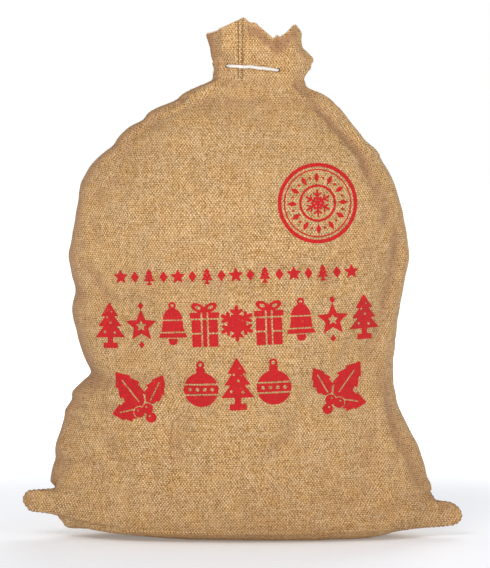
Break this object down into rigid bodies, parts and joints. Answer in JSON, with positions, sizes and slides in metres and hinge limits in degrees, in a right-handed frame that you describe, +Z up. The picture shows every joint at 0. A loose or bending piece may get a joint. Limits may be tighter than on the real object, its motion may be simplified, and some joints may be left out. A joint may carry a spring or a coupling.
{
  "type": "fabric gift sack",
  "caption": "Hessian gift sack, filled and standing on its base, with a gathered neck, a ruffled mouth that folds open and a cotton drawstring that closes it",
  "frame": {"origin": "on the floor under the middle of the filled sack", "axes": "+Z up along the sack's height, X along its width, the printed front faces -Y"},
  "size_m": [0.502, 0.2435, 0.5914],
  "materials": {
    "hessian": "plain open weave jute hessian, natural, with a red print on the front",
    "seam_edge": "turned-in and stitched hessian",
    "cotton_cord": "soft natural white cotton"
  },
  "bodies": {
    "sack": {"front_panel": "hessian", "back_panel": "hessian", "left_side_seam": "seam_edge", "right_side_seam": "seam_edge", "bottom_seam": "seam_edge", "left_corner": "hessian", "right_corner": "hessian", "drawstring_loop": "cotton_cord"},
    "front_lip": {"ruffle_front": "hessian", "ruffle_seam": "seam_edge"},
    "back_lip": {"ruffle_back": "hessian"},
    "drawstring_ends": {"left_tail": "cotton_cord", "right_tail": "cotton_cord", "left_knot": "cotton_cord", "right_knot": "cotton_cord"}
  },
  "joints": [
    {"name": "drawstring_pull", "type": "slide", "parent": "sack", "child": "drawstring_ends", "axis": [0, 0, 1], "range_m": [0, 0.03], "deforming": ["left_tail", "right_tail"]},
    {"name": "mouth_front_open", "type": "hinge", "parent": "sack", "child": "front_lip", "pos_m": [0.022, -0.0304, 0.5416], "axis": [1, 0, 0], "range_deg": [0, 35]},
    {"name": "mouth_back_open", "type": "hinge", "parent": "sack", "child": "back_lip", "pos_m": [0.022, 0.0304, 0.5416], "axis": [-1, 0, 0], "range_deg": [0, 35]}
  ],
  "couplings": [
    {"joint": "mouth_front_open", "follows": "drawstring_pull", "rad_per_m": 20.3},
    {"joint": "mouth_back_open", "follows": "drawstring_pull", "rad_per_m": 20.3}
  ]
}
